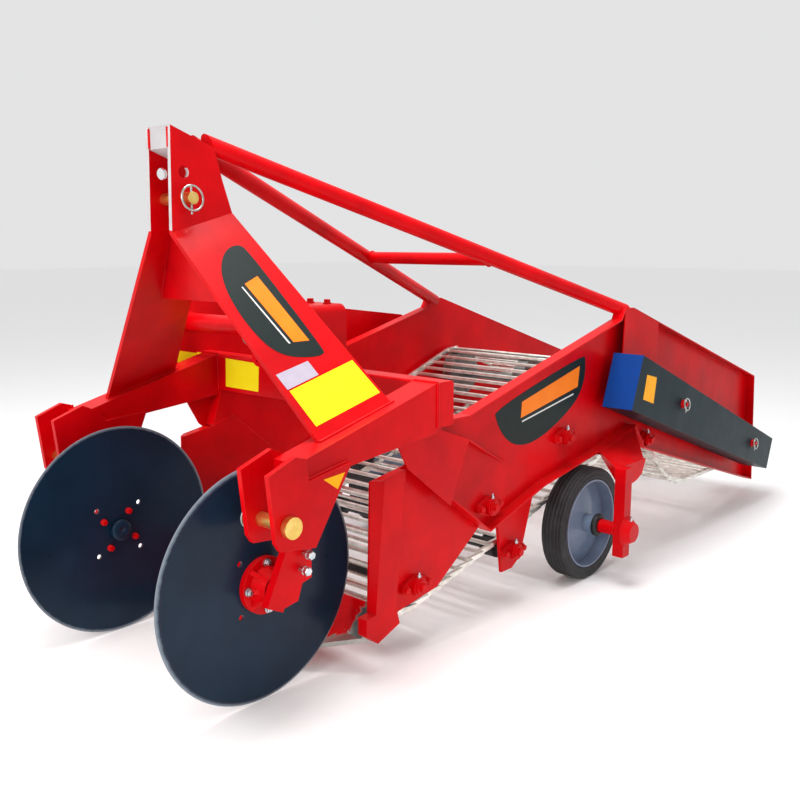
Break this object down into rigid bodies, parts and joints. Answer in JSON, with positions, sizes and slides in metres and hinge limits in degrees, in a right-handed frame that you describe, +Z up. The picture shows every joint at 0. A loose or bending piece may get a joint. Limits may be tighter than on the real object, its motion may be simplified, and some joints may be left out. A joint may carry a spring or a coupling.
{
  "type": "potato harvester",
  "caption": "Potato digger for a tractor's rear hitch, with coulter discs, a digging share, a rod-web elevator between side panels, and ground wheels.",
  "frame": {"origin": "centre of the bounding box's base: on the ground, midway between the coulter discs' front and the side panels' rear, and midway between the machine's sides", "axes": "+X to the machine's left, +Y to its rear, away from the tractor, +Z up"},
  "size_m": [1.086, 2.592, 1.183],
  "materials": {
    "red_paint": "gloss",
    "blue_paint": "satin",
    "bare_steel": "satin",
    "roller_rubber": "matte",
    "zinc": "satin",
    "rim_paint": "satin",
    "tyre": "matte"
  },
  "bodies": {
    "frame": {"headstock_left": "red_paint", "headstock_right": "red_paint", "headstock_throat_plate": "red_paint", "cross_beam": "red_paint", "hitch_arm_left": "red_paint", "hitch_arm_right": "red_paint", "clevis_left": "red_paint", "clevis_right": "red_paint", "coulter_shank_left": "red_paint", "coulter_shank_right": "red_paint", "side_panel_left": "red_paint", "side_panel_right": "red_paint", "front_sheet_left": "red_paint", "front_sheet_right": "red_paint", "panel_ties": "red_paint", "stay_left": "red_paint", "stay_right": "red_paint", "stay_brace": "red_paint", "gearbox": "red_paint", "drive_case": "red_paint", "wheel_bracket_left": "red_paint", "wheel_bracket_right": "red_paint", "bearings_left": "red_paint", "bearings_right": "red_paint", "chain_guard": "blue_paint", "headstock_cap": "bare_steel", "cross_tube": "bare_steel", "share": "bare_steel", "rod_web": "bare_steel", "drive_shaft": "bare_steel", "tail_shaft": "bare_steel", "side_chain": "bare_steel", "web_rollers": "roller_rubber", "top_link_pin": "zinc", "lower_pin_left": "zinc", "lower_pin_right": "zinc"},
    "coulter_left": {"coulter_disc_left": "blue_paint", "coulter_hub_left": "blue_paint"},
    "coulter_right": {"coulter_disc_right": "blue_paint", "coulter_hub_right": "blue_paint"},
    "wheel_left": {"tyre_left": "tyre", "wheel_rim_left": "rim_paint"},
    "wheel_right": {"tyre_right": "tyre", "wheel_rim_right": "rim_paint"}
  },
  "joints": [
    {"name": "coulter_left_spin", "type": "hinge", "parent": "frame", "child": "coulter_left", "pos_m": [0.272, -1.042, 0.256], "axis": [1, 0, 0], "continuous": true},
    {"name": "coulter_right_spin", "type": "hinge", "parent": "frame", "child": "coulter_right", "pos_m": [-0.272, -1.042, 0.256], "axis": [1, 0, 0], "continuous": true},
    {"name": "wheel_left_spin", "type": "hinge", "parent": "frame", "child": "wheel_left", "pos_m": [0.382, 0.042, 0.16], "axis": [1, 0, 0], "continuous": true},
    {"name": "wheel_right_spin", "type": "hinge", "parent": "frame", "child": "wheel_right", "pos_m": [-0.382, 0.042, 0.16], "axis": [1, 0, 0], "continuous": true}
  ]
}
